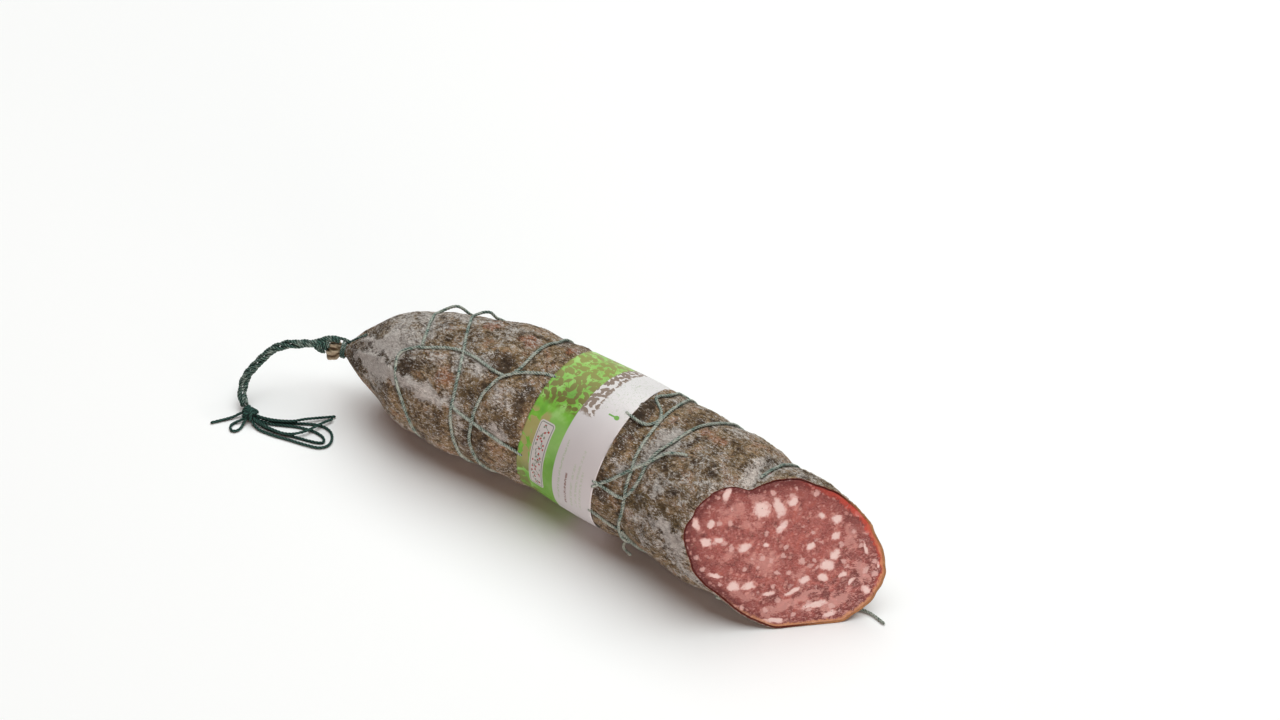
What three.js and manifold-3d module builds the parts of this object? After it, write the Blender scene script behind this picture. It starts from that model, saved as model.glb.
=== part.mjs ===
// Half a salami lying on its side: a gut casing gathered and tied at the neck, filled with cured
// meat, cut off on a slant, laced with twine and wrapped in a paper band. Millimetres, +Z up.
// X runs from the tied neck to the cut, Y across the length, the table is Z = 0.
import * as THREE from 'three';
import { mergeVertices } from 'three/addons/utils/BufferGeometryUtils.js';
import Module from 'manifold-3d';

const wasm = await Module();
wasm.setup();

// Driving dimensions
const casingThickness = 1.0;
const fitGap = 0.3;            // between pieces that touch
const twineDiameter = 1.5;
const cordDiameter = 5.0;      // the twisted hanging cord
const tableSink = 1.2;         // how far the soft body flattens where it lies
const bandStart = 129;
const bandEnd = 180;
const bandThickness = 0.4;
const grooveHeight = 2.4;      // the underside is drawn up this far at each hoop
const grooveHalfWidth = 5;
const hoopUndersides = [57, 90, 106, 197, 212, 259];   // where each hoop passes underneath

// The cut: a plane through cutPoint that faces forwards and up
const cutPoint = new THREE.Vector3(283.3, 6, 38);
const cutNormal = new THREE.Vector3(0.639, -0.67, 0.378).normalize();

// Body stations from the gathered tuft to past the cut: x, centre y, centre z, radius.
// From x = 73 on the body lies on the table, so its centre is one radius up.
const lying = (x, y, radius) => [x, y, radius - tableSink, radius];
const stations = [
  [-10.6, -9.7, 33.4, 1.6], [-9.6, -9.5, 33.4, 3.9], [-7, -9.0, 33.6, 4.6], [-4.5, -8.0, 34.3, 3.8],
  [-2, -7.2, 35.6, 3.2], [0.5, -6.5, 36.0, 3.8], [4, -5.4, 36.1, 7.0], [12.2, -2.3, 36.3, 14.4],
  [28.4, 3.3, 36.6, 26.1], [48.6, 6.5, 36.7, 33.3], lying(72.9, 11.0, 37.5), lying(101.3, 14.5, 39.5),
  lying(133.7, 16.7, 39.6), lying(168.1, 14.7, 41.0), lying(202.5, 14.8, 39.9), lying(236.9, 11.4, 40.3),
  lying(271.4, 8.2, 39.5), lying(303.8, -1.4, 40.3), lying(345, -5.9, 39.3),
];
const pinch = { x: 259, depth: 3, width: 5 };          // the last hoop bites into the top of the body

// Smooth curve through the rows of a table, by their first number
function along(table, x, column) {
  const last = table.length - 1;
  let i = 0;
  while (i < last - 1 && x > table[i + 1][0]) i += 1;
  const slope = (k) => {
    const a = table[Math.max(k - 1, 0)];
    const b = table[Math.min(k + 1, last)];
    return (b[column] - a[column]) / (b[0] - a[0]);
  };
  const [p, q] = [table[i], table[i + 1]];
  const span = q[0] - p[0];
  const t = Math.min(Math.max((x - p[0]) / span, 0), 1);
  return p[column] * (1 + 2 * t) * (1 - t) ** 2 + q[column] * t * t * (3 - 2 * t)
    + span * (slope(i) * t * (1 - t) ** 2 - slope(i + 1) * t * t * (1 - t));
}

// Height of the underside: flat on the table, drawn up at the hoops and under the band
function underside(x) {
  const nearHoop = hoopUndersides.some((hoop) => Math.abs(x - hoop) < grooveHalfWidth - 1);
  if (nearHoop) return grooveHeight;
  return x > bandStart && x < bandEnd ? bandThickness + fitGap + 0.05 : 0;
}

// Which way the centreline points at x, in plan
function headingAt(x) {
  return Math.atan2(along(stations, x + 1, 1) - along(stations, x - 1, 1), 2);
}

// A point on the body, or lifted off it: angle in degrees from the top towards the front
function skin(x, angle, lift = 0, floor = underside(x)) {
  const turn = THREE.MathUtils.degToRad(angle);
  const bite = pinch.depth * Math.max(Math.cos(turn), 0) * Math.exp(-(((x - pinch.x) / pinch.width) ** 2));
  const radius = along(stations, x, 3) - bite + lift;
  const heading = headingAt(x);
  const forward = radius * Math.sin(turn);             // towards the front, square to the centreline
  return new THREE.Vector3(
    x + forward * Math.sin(heading),
    along(stations, x, 1) - forward * Math.cos(heading),
    Math.max(along(stations, x, 2) + radius * Math.cos(turn), floor - lift),
  );
}

// A closed body from rings of points, with a point at each end
function ringBody(rings, startPoint, endPoint) {
  const points = [startPoint, ...rings.flat(), endPoint];
  const count = rings[0].length;
  const index = [];
  for (let k = 0; k < count; k += 1) {
    const next = (k + 1) % count;
    index.push(0, 1 + next, 1 + k);
    for (let row = 0; row < rings.length - 1; row += 1) {
      const a = 1 + row * count;
      const b = a + count;
      index.push(a + k, a + next, b + next, a + k, b + next, b + k);
    }
    const tail = 1 + (rings.length - 1) * count;
    index.push(tail + k, tail + next, points.length - 1);
  }
  const geometry = new THREE.BufferGeometry().setFromPoints(points);
  geometry.setIndex(index);
  return geometry;
}

// The body's skin over the given x positions, lifted or inset all over
function skinBody(xs, segments, lift, floor) {
  const rings = xs.map((x) => Array.from({ length: segments },
    (_, k) => skin(x, (360 * k) / segments, lift, floor ?? underside(x))));
  const centre = (x) => new THREE.Vector3(x, along(stations, x, 1), along(stations, x, 2));
  return ringBody(rings, centre(xs[0]), centre(xs[xs.length - 1]));
}

function solid(geometry) {
  const bare = geometry.clone();
  bare.deleteAttribute('normal');
  bare.deleteAttribute('uv');
  const merged = mergeVertices(bare, 1e-4);
  return new wasm.Manifold(new wasm.Mesh({
    numProp: 3,
    vertProperties: new Float32Array(merged.attributes.position.array),
    triVerts: new Uint32Array(merged.index.array),
  }));
}

function fromSolid(manifold) {
  const mesh = manifold.getMesh();
  const geometry = new THREE.BufferGeometry();
  geometry.setAttribute('position', new THREE.BufferAttribute(mesh.vertProperties, 3));
  geometry.setIndex(new THREE.BufferAttribute(mesh.triVerts, 1));
  return geometry;
}

// Everything past the cut plane
function cutAway() {
  const size = 240;
  const box = new THREE.BoxGeometry(size, size, size);
  box.translate(0, 0, size / 2);
  box.applyQuaternion(new THREE.Quaternion().setFromUnitVectors(new THREE.Vector3(0, 0, 1), cutNormal));
  box.translate(cutPoint.x, cutPoint.y, cutPoint.z);
  return solid(box);
}

// A round strand along a smooth curve through the points
function strand(points, diameter, steps, sides = 6) {
  const circle = new THREE.Shape(Array.from({ length: sides }, (_, k) => {
    const turn = (2 * Math.PI * k) / sides;
    return new THREE.Vector2(Math.cos(turn), Math.sin(turn)).multiplyScalar(diameter / 2);
  }));
  return new THREE.ExtrudeGeometry(circle, {
    steps,
    extrudePath: new THREE.CatmullRomCurve3(points, false, 'centripetal'),
  });
}

const twineLift = twineDiameter / 2 + fitGap + 0.3;

// Twine round the body: rows of angle, x and how far it stands off
function hoop(rows) {
  const start = rows[0][0];
  const sweep = rows[rows.length - 1][0] - start;
  const steps = Math.round(sweep / 9);
  const points = Array.from({ length: steps + 1 }, (_, k) => {
    const angle = start + (sweep * k) / steps;
    return skin(along(rows, angle, 1), angle, twineLift + Math.max(along(rows, angle, 2), 0));
  });
  return strand(points, twineDiameter, steps);
}

// Twine along the body: rows of x, angle and how far it stands off
function link(rows, steps) {
  return strand(rows.map(([x, angle, off = 0]) => skin(x, angle, twineLift + off)), twineDiameter, steps);
}

// Twine lying free: rows of x, y and z
function loose(rows, steps, diameter = twineDiameter, sides = 8) {
  return strand(rows.map((row) => new THREE.Vector3(...row)), diameter, steps, sides);
}

const casingLook = new THREE.MeshStandardMaterial({ color: 0x8f8378, roughness: 0.85, metalness: 0 });
const meatLook = new THREE.MeshStandardMaterial({ color: 0xa54a4c, roughness: 0.55, metalness: 0 });
const paperLook = new THREE.MeshStandardMaterial({ color: 0x8fc553, roughness: 0.6, metalness: 0 });
const twineLook = new THREE.MeshStandardMaterial({ color: 0x5f8a83, roughness: 0.9, metalness: 0 });
const cordLook = new THREE.MeshStandardMaterial({ color: 0x1f5a50, roughness: 0.9, metalness: 0 });

const salami = new THREE.Group();

function add(name, geometry, look) {
  const mesh = new THREE.Mesh(geometry, look);
  mesh.name = name;
  salami.add(mesh);
}

// Casing and filling
const bodySegments = 28;
const fillingSegments = 24;
const hoopRows = hoopUndersides.flatMap((x) => [x - grooveHalfWidth, x - 3.5, x + 3.5, x + grooveHalfWidth]);
const pinchRows = [pinch.x - 9, pinch.x - 1, pinch.x + 9];
const plainRows = [-10.6, -9.6, -7, -4.5, -2, 0.5, 4, 8, 12.2, 20, 28.4, 38, 48, 72.9, 120,
  bandStart - 0.8, bandStart + 0.1, 146, 163, bandEnd - 0.1, bandEnd + 0.8, 186, 224, 238, 282, 296, 312, 335];
const outerRows = [...plainRows, ...hoopRows, ...pinchRows].sort((a, b) => a - b);
const fillingRows = [12, 16, 21, 28.4, 40, 56, 72.9, 92, 112, 133.7, 151, 168, 185, 202.5, 220, 237, 250, 257,
  259, 267, 275, 290, 303.8, 345];
const innerFloor = grooveHeight;

function casing() {
  const outside = solid(skinBody(outerRows, bodySegments, 0));
  const inside = solid(skinBody([9, ...fillingRows], fillingSegments, -casingThickness, innerFloor));
  return fromSolid(outside.subtract(inside).subtract(cutAway()));
}

function filling() {
  const inset = -(casingThickness + fitGap);
  return fromSolid(solid(skinBody(fillingRows, fillingSegments, inset, innerFloor)).subtract(cutAway()));
}

// Paper band: a sleeve just clear of the casing
function paperBand() {
  const xs = [bandStart + 0.3, 146, 163, bandEnd - 0.3];
  const layer = (lift, ends) => solid(skinBody([xs[0] - ends, xs[1], xs[2], xs[3] + ends], bodySegments, lift,
    underside(150)));
  return fromSolid(layer(fitGap + bandThickness, 0).subtract(layer(fitGap, 1)));
}

// Two tight turns of twine round the neck
function neckTie() {
  const tie = new THREE.TorusGeometry(5.4, 1.3, 8, 20);
  tie.rotateY(Math.PI / 2);
  tie.rotateZ(headingAt(-2));
  tie.translate(-2, along(stations, -2, 1), along(stations, -2, 2));
  return tie;
}

add('casing', casing(), casingLook);
add('filling', filling(), meatLook);
add('paper_band', paperBand(), paperLook);
add('neck_tie', neckTie(), cordLook);

// Hoops: angle, x, stand-off; each ends beside its own start, where it is hitched
const hoops = {
  hoop_1: [[24, 50.5, 0], [28, 46.5, 0], [34, 42, 0], [42, 40.5, 0], [52, 42, 0], [67, 45.6, 0], [81, 49.4, 0],
    [100, 52.6, 0], [128, 55.5, 0], [150, 57, 0], [210, 57, 0], [270, 59, 0], [312, 59, 0.3], [321, 53, 3.4],
    [330, 45, 0.4], [352, 47.3, 0], [370, 50, 0], [378, 50.8, 0]],
  hoop_2: [[21, 76, 0], [32, 78, 0], [42, 79.3, 0], [54, 80.3, 0], [72, 81, 0], [85, 82.5, 0], [98, 84.6, 0],
    [116, 86, 0], [150, 90, 0], [210, 90, 0], [270, 84, 0], [316, 74.5, 0.6], [322, 71, 3.4], [329, 65.5, 0.6],
    [348, 68.6, 0], [360, 71, 0], [372, 73.8, 0], [376, 74.8, 0]],
  hoop_3: [[26, 107, 0], [29, 104.5, 0], [34, 101.8, 0], [40, 100, 0], [48, 97.8, 0], [62, 96, 0], [75, 95.4, 0],
    [88, 95, 0], [101, 96.4, 0], [118, 99.6, 0], [150, 106, 0], [210, 106, 0], [270, 112, 0], [332, 117, 0],
    [346, 114.4, 0], [360, 113, 0], [376, 111.4, 0], [381, 110, 0]],
  hoop_4: [[76, 199.2, 0], [85, 198.6, 0], [100, 196.6, 0], [118, 195.8, 0], [150, 197, 0], [210, 197, 0],
    [270, 195, 0], [309, 193, 0], [334, 195.4, 0], [379, 195.8, 0], [398, 195.9, 0], [410, 197.5, 0],
    [422, 198.4, 0], [430, 199.2, 0]],
  hoop_5: [[106, 201, 0], [112, 202.5, 0], [130, 208.5, 0], [150, 212, 0], [210, 212, 0], [270, 221, 0],
    [320, 218.8, 0], [340, 216, 0], [350, 213.9, 0], [362, 212, 0], [374, 210, 0], [386, 206.6, 0],
    [398, 204.6, 0], [410, 205, 0], [418, 204.2, 0], [423, 202.8, 0]],
  hoop_6: [[126, 259, 0], [150, 259, 0], [210, 259, 0], [300, 259, 0], [350, 258.6, 0], [358, 258.4, 0]],
};
for (const [name, rows] of Object.entries(hoops)) add(name, hoop(rows), twineLook);

// Twine running lengthwise between the hoops: x, angle, stand-off
const links = {
  upper_link_1: [[54, 23.7], [57, 22.5], [62, 20.4], [67, 18.7], [72, 18.2]],
  upper_link_2: [[79.5, 20], [84, 21.4], [88, 23], [94, 25.6], [99, 27.2]],
  upper_link_3: [[113.6, 20.2], [116, 18.4], [120, 16], [125, 13.2], [127.6, 12.8]],
  upper_link_4: [[182.2, 12.8], [186, 13.4], [189, 13.6], [192.4, 11.5]],
  lower_link_2: [[83.8, 65.8], [89, 68], [92.2, 69.5]],
  lower_link_3: [[98.8, 72.4], [104, 74.2], [110, 76.2], [118, 78.4], [127, 80.2]],
  lower_link_4: [[181.8, 98.6], [186, 100.6], [190, 102.6], [193, 103]],
  slack_strand: [[191.8, -4.8], [188.4, -8.4], [184.8, -12.6], [184.8, -18], [187.4, -25], [188, -33], [187, -42],
    [186.4, -50], [189.6, -57]],
  brace_strand: [[181.8, 70], [184, 66], [188, 60.6], [192, 54.8, 0.5], [195, 50.8, 1.7], [197.3, 48, 2.1],
    [200, 44.6, 2.1], [203, 40.6, 2.1], [205.4, 36.8, 2.1], [208, 31, 1.2], [211, 25, 0.3], [215, 21.4], [219, 19],
    [222, 17.8]],
  lower_brace: [[183.5, 73.4], [188, 72.6], [193, 72.8], [195.8, 73]],
};
for (const [name, rows] of Object.entries(links)) add(name, link(rows, 2 * rows.length), twineLook);

// Loose ends of the lacing
const hoopTail = [[194.2, -19.4, 14.4], [195.4, -20, 12], [197.6, -19.9, 10], [200.6, -19.3, 8]];
const cutEnd = [[306, 20.5, 1.1], [313, 24, 1.1], [321, 25.2, 1.1], [331, 23.4, 1.1]];
add('knotted_tail', loose(hoopTail, 5), twineLook);
add('cut_twine_end', loose(cutEnd, 8), twineLook);

// The hanging cord: from the neck tie over the tuft and down to the table, then knotted
const cordRoute = [[-4.2, -6.9, 41.0], [-8, -8.8, 41.4], [-12.2, -11.6, 39.9], [-17.1, -15.1, 37.6],
  [-22.8, -18.1, 36.6], [-30.2, -22.5, 35], [-36, -26.3, 32], [-40.1, -30.8, 27], [-43.3, -34.7, 22],
  [-46.2, -38.8, 16.5], [-46.3, -42.9, 11], [-44.6, -46.6, 7], [-39.2, -50.2, 4.4]];
add('hanging_cord', loose(cordRoute, 24, cordDiameter, 10), cordLook);

function cordKnot() {
  const knot = new THREE.IcosahedronGeometry(1, 2);
  knot.scale(5.2, 4.8, 3.8);
  knot.translate(-33.5, -53, 4);
  return knot;
}
add('cord_knot', cordKnot(), cordLook);

// The slipped bow beyond the knot, lying on the table, with two ends crossing over it
const tableLift = twineDiameter / 2 + 0.2;
const onTable = (pairs) => pairs.map(([x, y]) => [x, y, tableLift]);
const bow = {
  bow_loop_outer: onTable([[-27.6, -56.8], [-22.7, -57.2], [-14.1, -55.9], [-5, -53.6], [5.1, -51.2], [11.9, -48.8],
    [14.9, -45], [14.2, -40.5], [10.5, -36.2], [5, -34.6], [-1, -36], [-8, -40], [-15, -44.5], [-21, -47.6],
    [-27.6, -49.6]]),
  bow_loop_inner: onTable([[-27.2, -54.6], [-17.9, -53.6], [-9, -51.3], [0, -49], [8, -46.6], [11.3, -44],
    [8, -41], [0.8, -40.8], [-7.8, -43.2], [-15.5, -47], [-21, -49.9], [-27.2, -51.9]]),
  bow_end_upper: [[-27.4, -51, 3.5], [-20, -48, 3.2], [-11.9, -42.6, 3], [-6.9, -37, 3], [-1, -30.5, 2.6],
    [3.9, -24.5, 1.6]],
  bow_end_lower: [[-27.2, -55, 3.5], [-18, -54.2, 3.1], [-10, -52.8, 3], [-4.5, -49.5, 3], [-0.4, -43, 3],
    [2.4, -35.8, 3], [5.4, -30.3, 1.8]],
  small_loop: [[-36.2, -58.6, 1.6], [-38, -61, 1], [-38.2, -64, 0.95], [-36, -66.4, 0.95], [-33.4, -65.6, 0.95],
    [-32.6, -62.5, 1], [-33.2, -58.8, 1.6]],
  cord_end: [[-39.4, -54.6, 2.6], [-41.5, -58.4, 1.6], [-45.9, -64.6, 1], [-48.9, -68.8, 0.95]],
};
for (const [name, rows] of Object.entries(bow)) add(name, loose(rows, 2 * rows.length), cordLook);

// The origin is under the middle of the body and its lacing, on the table
const bodyBox = new THREE.Box3();
for (const mesh of salami.children) {
  const onCord = mesh.name.startsWith('cord') || mesh.name in bow || mesh.name === 'hanging_cord';
  if (!onCord) bodyBox.expandByObject(mesh);
}
const middle = bodyBox.getCenter(new THREE.Vector3());
salami.position.set(-middle.x, -middle.y, -bodyBox.min.z);

export default salami;
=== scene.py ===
import math
import bpy
import bmesh
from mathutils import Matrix, Quaternion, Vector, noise
from mathutils.kdtree import KDTree


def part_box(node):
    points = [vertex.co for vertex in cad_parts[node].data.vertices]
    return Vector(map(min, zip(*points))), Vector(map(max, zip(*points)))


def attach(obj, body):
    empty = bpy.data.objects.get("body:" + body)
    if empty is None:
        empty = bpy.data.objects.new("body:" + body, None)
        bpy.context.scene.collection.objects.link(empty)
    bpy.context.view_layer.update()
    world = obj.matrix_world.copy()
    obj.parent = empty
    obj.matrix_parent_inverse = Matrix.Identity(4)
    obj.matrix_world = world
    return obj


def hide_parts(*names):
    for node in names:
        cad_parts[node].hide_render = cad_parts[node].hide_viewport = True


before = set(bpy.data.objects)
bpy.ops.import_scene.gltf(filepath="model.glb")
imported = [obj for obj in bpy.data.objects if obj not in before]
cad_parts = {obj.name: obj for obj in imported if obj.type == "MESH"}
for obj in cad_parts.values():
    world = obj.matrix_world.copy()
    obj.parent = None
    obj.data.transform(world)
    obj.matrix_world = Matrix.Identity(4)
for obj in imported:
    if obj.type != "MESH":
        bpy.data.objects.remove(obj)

noise.seed_set(7)  # the same noise in every run

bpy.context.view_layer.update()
mm = 0.001

# The sausage is drawn in millimetres from the neck, then set where the frame has it
knotLow, knotHigh = (Vector(corner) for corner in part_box("cord_knot"))
drawnKnot = Vector((-33.5, -53, 4)) * mm
shift = (knotLow + knotHigh) / 2 - drawnKnot


def place(point):
    return Vector(point) * mm + shift


# view
viewSettings = {"azimuth": 36.05, "elevation": 45.04, "distance": 1476, "lens": 78.44, "aim": (150, 0, 40),
                "right": 34.58, "up": 48.09, "roll": 1.23}


def addCamera(s):
    turn, tilt = math.radians(s["azimuth"]), math.radians(s["elevation"])
    away = Vector((math.sin(turn) * math.cos(tilt), -math.cos(turn) * math.cos(tilt), math.sin(tilt)))
    right = Vector((math.cos(turn), math.sin(turn), 0))
    camera = bpy.data.objects.new("camera", bpy.data.cameras.new("camera"))
    bpy.context.collection.objects.link(camera)
    camera.data.lens = s["lens"]
    camera.location = place(Vector(s["aim"]) + away * s["distance"])
    target = place(Vector(s["aim"]) + right * s["right"] + away.cross(right) * s["up"])
    rolled = Quaternion((0, 0, 1), math.radians(s["roll"]))
    camera.rotation_euler = ((target - camera.location).to_track_quat("-Z", "Y") @ rolled).to_euler()
    bpy.context.scene.camera = camera


addCamera(viewSettings)
print("camera set")


# shader helpers
def srgb(red, green, blue):
    values = [c / 255 for c in (red, green, blue)]
    return tuple(c / 12.92 if c < 0.04045 else ((c + 0.055) / 1.055) ** 2.4 for c in values) + (1,)


class Wire:  # an output socket; arithmetic on it adds Math nodes
    def __init__(self, shader, socket):
        self.shader, self.socket = shader, socket

    def maths(self, operation, *values):
        return self.shader.node("ShaderNodeMath", {"operation": operation}, dict(enumerate(values)))

    def apply(self, operation, *others):
        return self.maths(operation, self, *others)

    def __add__(self, other):
        return self.apply("ADD", other)

    def __sub__(self, other):
        return self.apply("SUBTRACT", other)

    def __rsub__(self, other):
        return self.maths("SUBTRACT", other, self)

    def __mul__(self, other):
        return self.apply("MULTIPLY", other)

    def __pow__(self, other):
        return self.apply("POWER", other)

    def __abs__(self):
        return self.apply("ABSOLUTE")

    __radd__, __rmul__ = __add__, __mul__


class Shader:
    def __init__(self, name, **constants):
        self.material = bpy.data.materials.new(name)
        self.material.use_nodes = True
        self.tree = self.material.node_tree
        self.surface = self.tree.nodes["Principled BSDF"]
        for socket, value in constants.items():
            self.surface.inputs[socket.replace("_", " ")].default_value = value

    def node(self, kind, settings=None, inputs=None, output=0):
        made = self.tree.nodes.new(kind)
        for key, value in (settings or {}).items():
            if key == "stops":
                self.setStops(made.color_ramp, value)
            else:
                setattr(made, key, value)
        for key, value in (inputs or {}).items():
            self.feed(made.inputs[key], value)
        return Wire(self, made.outputs[output])

    def setStops(self, ramp, stops):
        while len(ramp.elements) < len(stops):
            ramp.elements.new(0.5)
        for element, (position, colour) in zip(ramp.elements, stops):
            element.position, element.color = position, srgb(*colour)

    def feed(self, socket, value):
        if isinstance(value, Wire):
            self.tree.links.new(value.socket, socket)
        else:
            socket.default_value = value

    def position(self, scale=(1, 1, 1), turn=(0, 0, 0)):  # millimetres on the object
        point = self.node("ShaderNodeTexCoord", output="Object")
        return self.node("ShaderNodeMapping", {}, {"Vector": point, "Scale": [1000 * s for s in scale],
                                                   "Rotation": turn})

    def attribute(self, name):
        return self.node("ShaderNodeAttribute", {"attribute_name": name}, output="Fac")

    def noise(self, vector, size, detail=2.0, rough=0.5, warp=0.0, output=0):
        return self.node("ShaderNodeTexNoise", {}, {"Vector": vector, "Scale": 1 / size, "Detail": detail,
                                                    "Roughness": rough, "Distortion": warp}, output)

    def threads(self, vector, size, width, warp, core=0.0, detail=3, rough=0.6):  # thin winding lines
        return self.step(abs(self.noise(vector, size, detail, rough, warp) - 0.5), width, core)

    def cells(self, vector, size, spread=1.0, output="Distance", flat=False):
        settings = {"voronoi_dimensions": "2D" if flat else "3D", "feature": "F1"}
        inputs = {"Vector": vector, "Scale": 1 / size, "Randomness": spread}
        return self.node("ShaderNodeTexVoronoi", settings, inputs, output)

    def vectorMaths(self, operation, *values):
        return self.node("ShaderNodeVectorMath", {"operation": operation}, dict(enumerate(values)))

    def parts(self, value, kind="XYZ"):  # the first two numbers of a vector or colour
        return [self.node("ShaderNodeSeparate" + kind, {}, {0: value}, k) for k in (0, 1)]

    def ramp(self, value, *stops):
        return self.node("ShaderNodeValToRGB", {"stops": stops}, {0: value})

    def step(self, value, low, high, bottom=0.0, top=1.0):
        inputs = {"Value": value, "From Min": low, "From Max": high, "To Min": bottom, "To Max": top}
        return self.node("ShaderNodeMapRange", {"interpolation_type": "SMOOTHSTEP"}, inputs)

    def mix(self, factor, first, second):  # colours are links, or red, green and blue up to 255
        first, second = (srgb(*c) if isinstance(c, tuple) else c for c in (first, second))
        return self.node("ShaderNodeMix", {"data_type": "RGBA"}, {0: factor, 6: first, 7: second}, output=2)

    def coats(self, colour, *layers):  # each layer is its mask and its colour, laid over the ones before
        for mask, layer in layers:
            colour = self.mix(mask, colour, layer)
        return colour

    def bump(self, height, distance, strength):
        inputs = {"Height": height, "Distance": distance * mm, "Strength": strength}
        return self.node("ShaderNodeBump", {}, inputs)

    def finish(self, **inputs):
        for socket, value in inputs.items():
            self.feed(self.surface.inputs[socket.replace("_", " ")], value)
        return self.material


# body shape, the same as the frame's
flattened = 1.2  # how far the underside is pressed flat


def lying(x, y, radius):
    return (x, y, radius - flattened, radius)


bodyStations = [
    (-10.6, -9.7, 33.4, 1.6), (-9.6, -9.5, 33.4, 3.9), (-7, -9.0, 33.6, 4.6), (-4.5, -8.0, 34.3, 3.8),
    (-2, -7.2, 35.6, 3.2), (0.5, -6.5, 36.0, 3.8), (4, -5.4, 36.1, 7.0), (12.2, -2.3, 36.3, 14.4),
    (28.4, 3.3, 36.6, 26.1), (48.6, 6.5, 36.7, 33.3), lying(72.9, 11.0, 37.5), lying(101.3, 14.5, 39.5),
    lying(133.7, 16.7, 39.6), lying(168.1, 14.7, 41.0), lying(202.5, 14.8, 39.9), lying(236.9, 11.4, 40.3),
    lying(271.4, 8.2, 39.5), lying(303.8, -1.4, 40.3), lying(345, -5.9, 39.3),
]
body = {"pinchX": 259, "pinchDepth": 3, "pinchWidth": 5, "bandStart": 129, "bandEnd": 180,
        "bandRise": 0.75, "casingThickness": 1.0, "hoopUndersides": (57, 90, 106, 197, 212, 259),
        "grooveHeight": 2.4, "grooveHalfWidth": 4}
cut = {"point": Vector((283.3, 6, 38)), "normal": Vector((0.639, -0.67, 0.378)).normalized(),
       "reach": (225, 344)}
cut["across"] = Vector((0, 0, 1)).cross(cut["normal"]).normalized()
cut["up"] = cut["normal"].cross(cut["across"])


def slopes(table, column):
    last = len(table) - 1
    pairs = ((table[max(k - 1, 0)], table[min(k + 1, last)]) for k in range(last + 1))
    return [(b[column] - a[column]) / (b[0] - a[0]) for a, b in pairs]


def along(table, x, column):  # smooth curve through the rows, by their first number
    key = (id(table), column)
    if key not in along.slopes:
        along.slopes[key] = slopes(table, column)
    m = along.slopes[key]
    i = 0
    while i < len(table) - 2 and x > table[i + 1][0]:
        i += 1
    p, q = table[i], table[i + 1]
    span = q[0] - p[0]
    t = min(max((x - p[0]) / span, 0), 1)
    s = 1 - t
    return (p[column] * (1 + 2 * t) * s * s + q[column] * t * t * (3 - 2 * t)
            + span * (m[i] * t * s * s - m[i + 1] * t * t * s))


along.slopes = {}
centreline = [tuple(along(bodyStations, x / 2, column) for column in (1, 2, 3)) for x in range(-24, 692)]


def centre(x):  # centre y, centre z and radius at x
    at = min(max(2 * x + 24, 0), len(centreline) - 2)
    k = int(at)
    return [a + (b - a) * (at - k) for a, b in zip(centreline[k], centreline[k + 1])]


def smooth(value, low, high):
    t = min(max((value - low) / (high - low), 0), 1)
    return t * t * (3 - 2 * t)


def underside(x):
    if any(abs(x - hoop) < body["grooveHalfWidth"] for hoop in body["hoopUndersides"]):
        return body["grooveHeight"]
    return body["bandRise"] if body["bandStart"] < x < body["bandEnd"] else 0


def outward(x, angle):  # unit vector from the centreline out through the skin
    turn = math.radians(angle)
    heading = math.atan2(centre(x + 1)[0] - centre(x - 1)[0], 2)
    return Vector((math.sin(turn) * math.sin(heading), -math.sin(turn) * math.cos(heading), math.cos(turn)))


def arc(angle, other, radius):  # distance round the skin from one angle to another
    return math.radians((angle - other + 180) % 360 - 180) * radius


def skin(x, angle, lift=0.0, floor=None):
    y, z, radius = centre(x)
    bite = body["pinchDepth"] * max(math.cos(math.radians(angle)), 0)
    bite *= math.exp(-((x - body["pinchX"]) / body["pinchWidth"]) ** 2)
    point = Vector((x, y, z)) + outward(x, angle) * (radius - bite + lift)
    floor = underside(x) if floor is None else floor
    point.z = max(point.z, floor - lift)
    return point


# mesh helpers
def wrapGrid(name, columns, rows, spot, layers=(), seam=True, uvs=None):
    # a grid bent to shape: spot(u, v) gives the point in millimetres and the values of the layers
    bm = bmesh.new()
    bmesh.ops.create_grid(bm, x_segments=columns, y_segments=rows, size=0.5)
    floats = [bm.verts.layers.float.new(layer) for layer in layers]
    corners = {}
    for vert in bm.verts:
        u, v = vert.co.x + 0.5, vert.co.y + 0.5
        point, values = spot(u, v)
        corners[vert.index] = (u, v)
        vert.co = place(point)
        for layer, value in zip(floats, values):
            vert[layer] = value
    if uvs:
        uvLayer = bm.loops.layers.uv.new("print")
        bm.verts.index_update()
        for face in bm.faces:
            for loop in face.loops:
                loop[uvLayer].uv = uvs(*corners[loop.vert.index])
    if seam:
        bmesh.ops.remove_doubles(bm, verts=bm.verts, dist=1e-7)
    return bm


def closeHoles(bm):
    bmesh.ops.holes_fill(bm, edges=[edge for edge in bm.edges if edge.is_boundary], sides=0)


def finishMesh(name, bm, material):
    bmesh.ops.recalc_face_normals(bm, faces=bm.faces)
    mesh = bpy.data.meshes.new(name)
    bm.to_mesh(mesh)
    bm.free()
    mesh.polygons.foreach_set("use_smooth", [True] * len(mesh.polygons))
    mesh.materials.append(material)
    made = bpy.data.objects.new(name, mesh)
    bpy.context.collection.objects.link(made)
    return made


def register(piece, slot, *nodes):
    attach(piece, "root")
    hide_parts(*nodes)


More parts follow.
